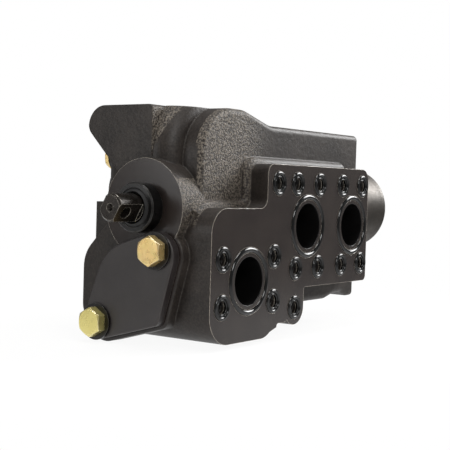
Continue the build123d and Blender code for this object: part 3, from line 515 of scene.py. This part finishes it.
@dataclass(frozen=True)
class SmoothSkin(Finish):
    """Rubber, paint or plating: one colour with slight stains, a faint skin and lighter edges, partly
    abrasion and partly painted highlight.

    Attributes:
        tint: A second hue that drifts over the first, as passivated zinc shows.
        tint_share: How strong that hue is.
        tint_below: Heights in millimetres between which that hue takes over downwards.
        low_tint: How strong it is there.
    """

    tint: str = "808080"
    tint_share: float = 0.0
    tint_below: tuple[float, float] | None = None
    low_tint: float = 0.75

    def build(self) -> bpy.types.Material:
        """Make the material.

        Returns:
            The material.
        """
        material, tree, shader, place = self.start()
        cloud = add_node(tree, "ShaderNodeTexNoise", Grain.TINT.inputs(place))
        none, full = Contrast.TINT.value
        drift = add_node(tree, "ShaderNodeMapRange", {0: cloud, 1: none, 2: full, 4: self.tint_share})
        if self.tint_below:
            full, none = self.tint_below
            height = add_node(tree, "ShaderNodeSeparateXYZ", {0: place}).outputs["Z"]
            fading = {0: height, 1: full, 2: none, 3: self.low_tint, 4: 0.0}
            low = add_node(tree, "ShaderNodeMapRange", fading)
            drift = add_node(tree, "ShaderNodeMath", {0: drift, 1: low}, operation="MAXIMUM")
        shades = {0: drift, COLOUR_A: self.stained(tree, place), COLOUR_B: linear(self.tint)}
        colour = add_node(tree, "ShaderNodeMix", shades, data_type="RGBA").outputs[COLOUR]
        rounded = add_node(tree, "ShaderNodeBevel", {"Radius": self.edge * MM}, samples=self.edge_samples)
        # Painted highlight and abrasion: the edges, creases too, take the pale edge colour
        shades = {0: self.edges(tree, rounded, place), COLOUR_A: colour, COLOUR_B: linear(self.worn_and_lit)}
        colour = add_node(tree, "ShaderNodeMix", shades, data_type="RGBA").outputs[COLOUR]
        tree.links.new(colour, shader.inputs["Base Color"])

        sheen = add_node(tree, "ShaderNodeTexNoise", Grain.SHEEN.inputs(place))
        none, full = Contrast.SPREAD.value
        gloss, matt = (self.roughness * share for share in self.patchy)
        rough = add_node(tree, "ShaderNodeMapRange", {0: sheen, 1: none, 2: full, 3: gloss, 4: matt})
        tree.links.new(rough.outputs[0], shader.inputs["Roughness"])
        fine = add_node(tree, "ShaderNodeTexNoise", Grain.PLATING.inputs(place))
        marks = {"Strength": 1.0, "Distance": self.depth * MM, "Height": fine, "Normal": rounded}
        tree.links.new(add_node(tree, "ShaderNodeBump", marks).outputs[0], shader.inputs["Normal"])
        return material


@dataclass(frozen=True)
class TurnedMetal(Finish):
    """Metal off the lathe: rings of the tool round the spool's axis, on faces and on cylinders.

    Attributes:
        ring_strength: How much the rings tilt the light.
    """

    ring_strength: float = 0.5

    def build(self) -> bpy.types.Material:
        """Make the material.

        Returns:
            The material.
        """
        material, tree, shader, place = self.start()
        rounded = add_node(tree, "ShaderNodeBevel", {"Radius": self.edge * MM}, samples=self.edge_samples)
        clean = self.stained(tree, place)
        # Painted highlight and abrasion: the edges, creases too, take the pale edge colour
        shades = {0: self.edges(tree, rounded, place), COLOUR_A: clean, COLOUR_B: linear(self.worn_and_lit)}
        colour = add_node(tree, "ShaderNodeMix", shades, data_type="RGBA").outputs[COLOUR]
        tree.links.new(colour, shader.inputs["Base Color"])
        sheen = add_node(tree, "ShaderNodeTexNoise", Grain.TURNED_SHEEN.inputs(place))
        none, full = Contrast.SPREAD.value
        gloss, matt = (self.roughness * share for share in self.patchy)
        rough = add_node(tree, "ShaderNodeMapRange", {0: sheen, 1: none, 2: full, 3: gloss, 4: matt})
        tree.links.new(rough.outputs[0], shader.inputs["Roughness"])

        # The tool feeds outwards on a face and along on a cylinder, so the rings follow their sum
        from_axis = add_node(tree, "ShaderNodeVectorMath", {0: place, 1: SPOOL_AXIS}, operation="SUBTRACT")
        across = add_node(tree, "ShaderNodeVectorMath", {0: from_axis, 1: (0, 1, 1)}, operation="MULTIPLY")
        radius = add_node(tree, "ShaderNodeVectorMath", {0: across}, operation="LENGTH").outputs["Value"]
        along = add_node(tree, "ShaderNodeSeparateXYZ", {0: place}).outputs["X"]
        travel = add_node(tree, "ShaderNodeMath", {0: radius, 1: along}, operation="ADD")
        turns = {0: travel, 1: 2 * math.pi / Feed.LATHE.value}
        phase = add_node(tree, "ShaderNodeMath", turns, operation="MULTIPLY")
        rings = add_node(tree, "ShaderNodeMath", {0: phase}, operation="SINE")
        marks = {
            "Strength": self.ring_strength, "Distance": self.depth * MM, "Height": rings, "Normal": rounded,
        }
        tree.links.new(add_node(tree, "ShaderNodeBump", marks).outputs[0], shader.inputs["Normal"])
        return material


FINISHES = (
    # Sand-cast grey iron, phosphated: matt brown-black with grey grain and painted sparkle, and pale edges,
    # partly abrasion and partly painted highlight
    SandCastIron(
        name="sand_cast_iron", slot="cast_iron", dark="1e1a18", light="2c2724", worn_and_lit="cfc6b8",
        roughness=0.45, edge=1.5, worn_and_lit_share=0.9, depth=1.0,
    ),
    # Moulded nitrile: black and glossy, so that its beads show as thin bright lines
    SmoothSkin(
        name="nitrile_rubber", slot="seal_rubber", dark="030303", light="060606", worn_and_lit="0c0c0c",
        roughness=0.12, edge=0.2, worn_and_lit_share=0.3, depth=0.01,
    ),
    # Stove paint on steel plate: even and dark, rubbed through along its edges
    SmoothSkin(
        name="plate_paint", slot="painted_steel", dark="201b1a", light="282322", worn_and_lit="857e78",
        roughness=0.42, edge=0.7, worn_and_lit_share=0.6, depth=0.02,
    ),
    # Yellow passivated zinc: pale gold with a greener bloom on the lowest bolt, and edges painted pale as
    # highlights
    SmoothSkin(
        name="yellow_zinc_plate", slot="yellow_zinc_steel", dark="dcb468", light="f0d294", worn_and_lit="fff3d2",
        roughness=0.3, edge=0.6, worn_and_lit_share=1.0, depth=0.02, metallic=0.8,
        tint="ddd78a", tint_share=0.25, tint_below=(-15.0, 5.0),
    ),
    # Turned steel under oil: nearly black, with faint rings
    TurnedMetal(
        name="oiled_turned_steel", slot="dark_steel", dark="0b0a0a", light="121110", worn_and_lit="8d8880",
        roughness=0.32, edge=0.35, worn_and_lit_share=0.5, depth=0.006, metallic=0.3,
    ),
    # Ground and hardened spool steel: darkened by oil, with corners painted bright, partly abrasion and
    # partly highlight
    TurnedMetal(
        name="ground_spool_steel", slot="ground_steel", dark="191613", light="2e2925", worn_and_lit="d8d1c4",
        roughness=0.28, edge=0.5, worn_and_lit_share=0.7, depth=0.004, metallic=0.6,
    ),
    # Drawn spring wire: smooth mid-grey metal
    SmoothSkin(
        name="spring_wire", slot="spring_steel", dark="4a4744", light="5c5853", worn_and_lit="8c8880",
        roughness=0.35, edge=0.2, worn_and_lit_share=0.3, depth=0.01, metallic=0.9,
    ),
    # Black oxide on screws: satin black, grey on the corners
    SmoothSkin(
        name="black_oxide", slot="black_oxide_steel", dark="0f0e0e", light="181716", worn_and_lit="55504c",
        roughness=0.35, edge=0.4, worn_and_lit_share=0.5, depth=0.02, metallic=0.3,
    ),
    # Moulded rubber of the rod wiper: black and matt from dust
    SmoothSkin(
        name="wiper_rubber", slot="rod_wiper", dark="070606", light="0c0b0b", worn_and_lit="141312",
        roughness=0.6, edge=0.2, worn_and_lit_share=0.3, depth=0.01,
    ),
    # Turned light alloy: warm grey metal with rings and pale edges
    TurnedMetal(
        name="turned_light_alloy", slot="cast_aluminium", dark="332f2a", light="443e38", worn_and_lit="cfc8bb",
        roughness=0.42, edge=0.9, worn_and_lit_share=0.9, depth=0.008, metallic=0.75,
    ),
)


@dataclass(frozen=True)
class HoleTrim:
    """Moulded rims and cut threads of the bolt holes in the port face.

    Each rim is a glossy outer bead in the counterbore and a lower lip round the thread, turned as
    one closed ring. The thread is a sharp ridge that winds down the tapped hole; it takes the
    screws' near-black oxide finish as painted shade deep in the hole.

    Attributes:
        segments: Steps round each rim.
        bead_share: Radius of the bead as a share of the rim's width.
        lip_share: Radius of the lip as a share of it.
        bead_steps: Steps round the bead's half circle.
        lip_steps: Steps round the lip's half circle.
        valley: How far inside the bead and below its middle the valley starts, in millimetres.
        lip_foot: How far outside the lip and below its middle the valley ends, in millimetres.
        pitch: Thread pitch in millimetres.
        ridge: Height of the thread in millimetres.
        turn_steps: Steps in each turn of the thread.
        ridge_foot: How deep the ridge's foot stands in the wall, in millimetres.
        ridge_side: Half of the ridge's width in pitches, so that the turns meet.
    """

    segments: int = 48
    bead_share: float = 0.31
    lip_share: float = 0.13
    bead_steps: int = 12
    lip_steps: int = 8
    valley: tuple[float, float] = (0.25, 0.35)
    lip_foot: tuple[float, float] = (0.1, 0.3)
    pitch: float = 1.5
    ridge: float = 0.45
    turn_steps: int = 24
    ridge_foot: float = 0.1
    ridge_side: float = 0.6

    def holes(self) -> list[tuple[Vector, Vector]]:
        """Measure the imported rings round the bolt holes, which share one mesh.

        Returns:
            Lowest and highest corner of each ring, in millimetres.
        """
        mesh = bmesh.new()
        mesh.from_mesh(frame["nodes"]["bolt_hole_seals"].data)
        boxes, seen = [], set()
        for seed in mesh.verts:
            if seed in seen:
                continue
            seen.add(seed)
            group, front = [seed], [seed]
            while front:
                corner = front.pop()
                linked = [edge.other_vert(corner) for edge in corner.link_edges]
                fresh = [vert for vert in linked if vert not in seen]
                seen.update(fresh)
                group.extend(fresh)
                front.extend(fresh)
            low = Vector([min(vert.co[axis] for vert in group) for axis in range(3)]) / MM
            high = Vector([max(vert.co[axis] for vert in group) for axis in range(3)]) / MM
            boxes.append((low, high))
        mesh.free()
        return boxes

    def profile(self, low: Vector, high: Vector) -> list[tuple[float, float]]:
        """Section of the rim as radius and depth, from the outside of the bead to the thread.

        Args:
            low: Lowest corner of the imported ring, in millimetres.
            high: Highest corner.

        Returns:
            Points of a closed section.
        """
        outer = (high.x - low.x) / 2
        proud, floor = low.y, high.y
        bead = (outer - TAP_RADIUS) * self.bead_share
        lip = (outer - TAP_RADIUS) * self.lip_share
        middle = proud + bead
        points = [(outer, floor)]
        for step in range(self.bead_steps + 1):
            turn = math.pi * step / self.bead_steps
            points.append((outer - bead + bead * math.cos(turn), middle - bead * math.sin(turn)))
        inwards, below = self.valley
        points.append((outer - 2 * bead - inwards, middle + below))
        outwards, below = self.lip_foot
        points.append((TAP_RADIUS + 2 * lip + outwards, middle + below))
        for step in range(self.lip_steps + 1):
            turn = math.pi * step / self.lip_steps
            points.append((TAP_RADIUS + lip + lip * math.cos(turn), middle - lip * math.sin(turn)))
        points.append((TAP_RADIUS, floor))
        return points

    def lathe(self, mesh: bmesh.types.BMesh, centre: Vector, section: list[tuple[float, float]]) -> None:
        """Turn a closed section about a hole's axis into the mesh.

        Args:
            mesh: The mesh to add to.
            centre: Centre of the hole in millimetres.
            section: Radius and depth of each point.
        """
        rings = []
        for step in range(self.segments):
            turn = 2 * math.pi * step / self.segments
            rings.append([
                mesh.verts.new(Vector((
                    centre.x + radius * math.cos(turn), depth, centre.z + radius * math.sin(turn),
                )) * MM)
                for radius, depth in section
            ])
        for first, second in zip(rings, rings[1:] + rings[:1]):
            for index in range(len(section)):
                after = (index + 1) % len(section)
                mesh.faces.new((first[index], second[index], second[after], first[after]))

    def thread(self, mesh: bmesh.types.BMesh, centre: Vector, start: float) -> None:
        """Wind a ridge down a tapped hole.

        Args:
            mesh: The mesh to add to.
            centre: Centre of the hole in millimetres.
            start: Depth of the first turn in millimetres.
        """
        turns = (TAP_DEPTH - start - 2 * self.pitch) / self.pitch
        side, foot = self.ridge_side, self.ridge_foot
        section = ((foot, -side), (-self.ridge, 0.0), (foot, side))
        previous = None
        for step in range(int(turns * self.turn_steps) + 1):
            turn = 2 * math.pi * step / self.turn_steps
            depth = start + self.pitch * (1 + step / self.turn_steps)
            row = [
                mesh.verts.new(Vector((
                    centre.x + (TAP_RADIUS + rise) * math.cos(turn),
                    depth + shift * self.pitch,
                    centre.z + (TAP_RADIUS + rise) * math.sin(turn),
                )) * MM)
                for rise, shift in section
            ]
            if previous:
                for index in range(len(section)):
                    after = (index + 1) % len(section)
                    mesh.faces.new((previous[index], row[index], row[after], previous[after]))
            previous = row

    def finish_piece(
        self, mesh: bmesh.types.BMesh, name: str, slot: str, materials: dict[str, bpy.types.Material]
    ) -> bpy.types.Object:
        """Make an object of the mesh, dress it and let it ride on the housing.

        Args:
            mesh: The finished mesh, which is freed.
            name: The piece's name.
            slot: Its material slot in the record.
            materials: Material of each slot.

        Returns:
            The object.
        """
        bmesh.ops.recalc_face_normals(mesh, faces=mesh.faces)
        data = bpy.data.meshes.new(name)
        mesh.to_mesh(data)
        mesh.free()
        data.shade_smooth()
        data.materials.append(materials[slot])
        piece = bpy.data.objects.new(name, data)
        bpy.context.scene.collection.objects.link(piece)
        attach(piece, "housing")
        log.info("%s: %d faces", name, len(data.polygons))
        return piece

    def build(self, materials: dict[str, bpy.types.Material]) -> None:
        """Make the rims and the threads.

        Args:
            materials: Material of each slot.
        """
        rims, threads = bmesh.new(), bmesh.new()
        for low, high in self.holes():
            centre = (low + high) / 2
            self.lathe(rims, centre, self.profile(low, high))
            self.thread(threads, centre, high.y)
        piece = self.finish_piece(rims, "bolt_hole_rims", "seal_rubber", materials)
        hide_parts("bolt_hole_seals")
        # Painted shade: the threads take the near-black oxide finish to darken the bolt holes
        self.finish_piece(threads, "bolt_hole_threads", "black_oxide_steel", materials)


def stand_in(node: str, name: str, material: bpy.types.Material) -> bpy.types.Object:
    """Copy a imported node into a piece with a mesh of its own.

    Args:
        node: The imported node.
        name: The piece's name.
        material: Its material.

    Returns:
        The piece.
    """
    data = frame["nodes"][node].data.copy()
    data.name = name
    data.materials.clear()
    data.materials.append(material)
    piece = bpy.data.objects.new(name, data)
    bpy.context.scene.collection.objects.link(piece)
    return piece


@dataclass(frozen=True)
class TurnedSpool:
    """The spool turned about its own axis in its bore, where the photograph shows its flats.

    Attributes:
        angle: Turn about X in degrees.
    """

    angle: float = 30.0

    def build(self, materials: dict[str, bpy.types.Material]) -> None:
        """Make the turned copy in the spool's place.

        Args:
            materials: Material of each slot.
        """
        piece = stand_in("spool", "turned_spool", materials["ground_steel"])
        centre = Matrix.Translation(Vector(SPOOL_AXIS) * MM)
        turn = Matrix.Rotation(math.radians(self.angle), 4, "X")
        piece.data.transform(centre @ turn @ centre.inverted())
        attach(piece, "spool_assembly")
        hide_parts("spool")
        log.info("turned_spool: %s degrees", self.angle)


@dataclass(frozen=True)
class CoilSpring:
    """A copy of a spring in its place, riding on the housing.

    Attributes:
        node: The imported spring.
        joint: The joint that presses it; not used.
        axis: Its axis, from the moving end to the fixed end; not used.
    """

    node: str
    joint: str
    axis: tuple[float, float, float]

    def build(self, materials: dict[str, bpy.types.Material]) -> None:
        """Make a copy in the spring's place.

        Args:
            materials: Material of each slot.
        """
        piece = stand_in(self.node, f"{self.node}_coils", materials["spring_steel"])
        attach(piece, "housing")
        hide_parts(self.node)
        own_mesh(piece)


SPRINGS = (
    CoilSpring("return_spring", "spool_slide", (-1.0, 0.0, 0.0)),
    CoilSpring("check_spring", "check_slide", (-1.0, 0.0, 0.0)),
    CoilSpring("relief_spring", "relief_slide", (0.0, 1.0, 0.0)),
)


class Casing:
    """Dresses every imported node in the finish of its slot."""

    def dress(self) -> dict[str, bpy.types.Material]:
        """Put one material on each node, by the record's slots.

        Returns:
            The material of each slot.
        """
        materials = {finish.slot: finish.build() for finish in FINISHES}
        for part in frame["record"]["subparts"]:
            node = frame["nodes"][part["node"]]
            material = materials.get(part["node"], materials[part["material_slot"]])
            node.data.materials.clear()
            node.data.materials.append(material)
            log.info("%s in %s", part["node"], material.name)
        return materials


@dataclass(frozen=True)
class PhotoCamera:
    """Camera at the photograph's viewing angle.

    Attributes:
        place: Position in millimetres from the centre of port 1.
        yaw: Turn about Z of the line back to the camera, in degrees.
        pitch: Height of that line above the horizon, in degrees.
        roll: Turn of the picture about the line of sight, in degrees.
        focal: Focal length in pixels of the 450-pixel picture.
        picture: Width of the picture in pixels.
        sensor: Width of the sensor in millimetres.
    """

    place: tuple[float, float, float] = (-551.6, -375.4, 61.0)
    yaw: float = 54.33
    pitch: float = 2.13
    roll: float = 1.73
    focal: float = 1027.5
    picture: float = 450.0
    sensor: float = 36.0

    def build(self) -> None:
        """Make the camera and set it as the scene's."""
        yaw, pitch, roll = (math.radians(a) for a in (self.yaw, self.pitch, self.roll))
        back = Vector((-math.sin(yaw) * math.cos(pitch), -math.cos(yaw) * math.cos(pitch), math.sin(pitch)))
        level = (-back).cross(Vector((0, 0, 1))).normalized()
        rise = level.cross(-back)
        right = math.cos(roll) * level + math.sin(roll) * rise
        up = -math.sin(roll) * level + math.cos(roll) * rise
        data = bpy.data.cameras.new("photo_camera")
        data.sensor_width = self.sensor
        data.lens = self.focal / self.picture * self.sensor
        camera = bpy.data.objects.new("photo_camera", data)
        turn = Matrix((right, up, back)).transposed().to_4x4()
        camera.matrix_world = Matrix.Translation(Vector(self.place) * MM) @ turn
        bpy.context.scene.collection.objects.link(camera)
        bpy.context.scene.camera = camera


@dataclass(frozen=True)
class Softbox:
    """A square soft lamp aimed at the valve.

    Attributes:
        name: The lamp's name.
        place: Position in metres.
        side: Side of the square in metres.
        power: Power in watts.
    """

    name: str
    place: tuple[float, float, float]
    side: float
    power: float

    def build(self, target: Vector) -> None:
        """Make the lamp, facing the target.

        Args:
            target: The point it is aimed at, in metres.
        """
        data = bpy.data.lights.new(self.name, "AREA")
        data.shape = "SQUARE"
        data.size = self.side
        data.energy = self.power
        lamp = bpy.data.objects.new(self.name, data)
        lamp.location = self.place
        lamp.rotation_euler = (target - Vector(self.place)).to_track_quat("-Z", "Y").to_euler()
        bpy.context.scene.collection.objects.link(lamp)


@dataclass(frozen=True)
class Stage:
    """Plain white floor and backdrop with soft studio lamps.

    Attributes:
        floor_side: Side of the floor in metres.
        floor_colour: Its colour, as sRGB hex.
        ambient: Strength of the backdrop as a light.
        mirrored: Strength of the backdrop in reflections.
        near_white: How white the floor looks close to the valve.
        fade: Distances in metres over which it turns as white as the backdrop.
        dusk: Distances in metres over which the floor's mirror image dims to the backdrop's.
        lamps: The softboxes.
    """

    floor_side: float = 12.0
    floor_colour: str = "f4f3f1"
    ambient: float = 0.16
    mirrored: float = 0.26
    near_white: float = 0.93
    fade: tuple[float, float] = (0.12, 0.38)
    dusk: tuple[float, float] = (0.12, 0.5)
    lamps: tuple[Softbox, ...] = (
        Softbox(name="key_softbox", place=(1.0, -0.4, 0.62), side=0.6, power=16.5),
        Softbox(name="front_softbox", place=(-0.45, -1.0, 0.75), side=0.4, power=6.5),
        Softbox(name="top_softbox", place=(-0.05, 0.0, 1.15), side=0.5, power=10.0),
        Softbox(name="left_softbox", place=(-1.1, 0.6, 0.3), side=0.5, power=4.0),
    )

    def ray_kinds(self, tree: bpy.types.NodeTree) -> tuple[bpy.types.Node, bpy.types.NodeSocket]:
        """Tell rays that look at the stage from rays that see it mirrored.

        Args:
            tree: The node tree.

        Returns:
            A factor for rays from the camera, straight or through glass, and one for glossy rays.
        """
        rays = add_node(tree, "ShaderNodeLightPath").outputs
        direct = {0: rays["Is Camera Ray"], 1: rays["Is Transmission Ray"]}
        return add_node(tree, "ShaderNodeMath", direct, operation="MAXIMUM"), rays["Is Glossy Ray"]

    def world(self) -> None:
        """Make the backdrop: white where it is looked at, dimmer as a light and in reflections."""
        world = bpy.data.worlds.new("studio")
        bpy.context.scene.world = world
        world.use_nodes = True
        tree = world.node_tree
        tree.nodes.clear()
        seen, glossy = self.ray_kinds(tree)
        light = add_node(tree, "ShaderNodeMapRange", {0: glossy, 3: self.ambient, 4: self.mirrored})
        strength = add_node(tree, "ShaderNodeMix", {0: seen, 2: light, 3: 1.0}, data_type="FLOAT")
        backdrop = add_node(tree, "ShaderNodeBackground", {"Color": linear("ffffff"), "Strength": strength})
        add_node(tree, "ShaderNodeOutputWorld", {"Surface": backdrop})

    def floor(self, low: Vector, high: Vector) -> None:
        """Make the floor: paper that keeps a soft shadow by the valve and turns white away from it.

        Args:
            low: Lowest corner of the valve in metres.
            high: Highest corner.
        """
        half = self.floor_side / 2
        mesh = bpy.data.meshes.new("floor")
        corners = [(sx * half, sy * half, low.z) for sx, sy in ((-1, -1), (1, -1), (1, 1), (-1, 1))]
        mesh.from_pydata(corners, [], [(0, 1, 2, 3)])
        floor = bpy.data.objects.new("floor", mesh)
        bpy.context.scene.collection.objects.link(floor)
        paper = bpy.data.materials.new("studio_paper")
        paper.use_nodes = True
        tree = paper.node_tree
        tree.nodes.clear()
        seen, glossy = self.ray_kinds(tree)
        middle = (low + high) / 2
        place = add_node(tree, "ShaderNodeTexCoord").outputs["Object"]
        to_valve = {0: place, 1: (middle.x, middle.y, low.z)}
        away = add_node(tree, "ShaderNodeVectorMath", to_valve, operation="DISTANCE").outputs["Value"]
        white, image = (
            add_node(
                tree, "ShaderNodeMapRange", {0: away, 1: near, 2: far, 3: begins, 4: ends},
                interpolation_type="SMOOTHSTEP",
            )
            for (near, far), begins, ends in (
                (self.fade, self.near_white, 1.0), (self.dusk, 1.0, self.mirrored),
            )
        )
        share = add_node(tree, "ShaderNodeMath", {0: white, 1: seen}, operation="MULTIPLY")
        share = add_node(tree, "ShaderNodeMath", {0: share, 1: glossy}, operation="MAXIMUM")
        strength = add_node(tree, "ShaderNodeMix", {0: glossy, 2: 1.0, 3: image}, data_type="FLOAT")
        diffuse = add_node(tree, "ShaderNodeBsdfDiffuse", {"Color": linear(self.floor_colour)})
        glow = add_node(tree, "ShaderNodeEmission", {"Color": linear("ffffff"), "Strength": strength})
        surface = add_node(tree, "ShaderNodeMixShader", {0: share, 1: diffuse, 2: glow})
        add_node(tree, "ShaderNodeOutputMaterial", {"Surface": surface})
        mesh.materials.append(paper)

    def build(self) -> None:
        """Make the backdrop, the floor and the lamps."""
        low, high = CAD_BOX
        bpy.context.scene.view_settings.view_transform = "Standard"
        self.world()
        self.floor(low, high)
        for lamp in self.lamps:
            lamp.build((low + high) / 2)


def main() -> None:
    """Dress the valve, trim its bolt holes and set the stage."""
    logging.basicConfig(level=logging.INFO, format="%(message)s")
    PhotoCamera().build()
    materials = Casing().dress()
    HoleTrim().build(materials)
    TurnedSpool().build(materials)
    for spring in SPRINGS:
        spring.build(materials)
    Stage().build()


if __name__ == "__main__":
    main()
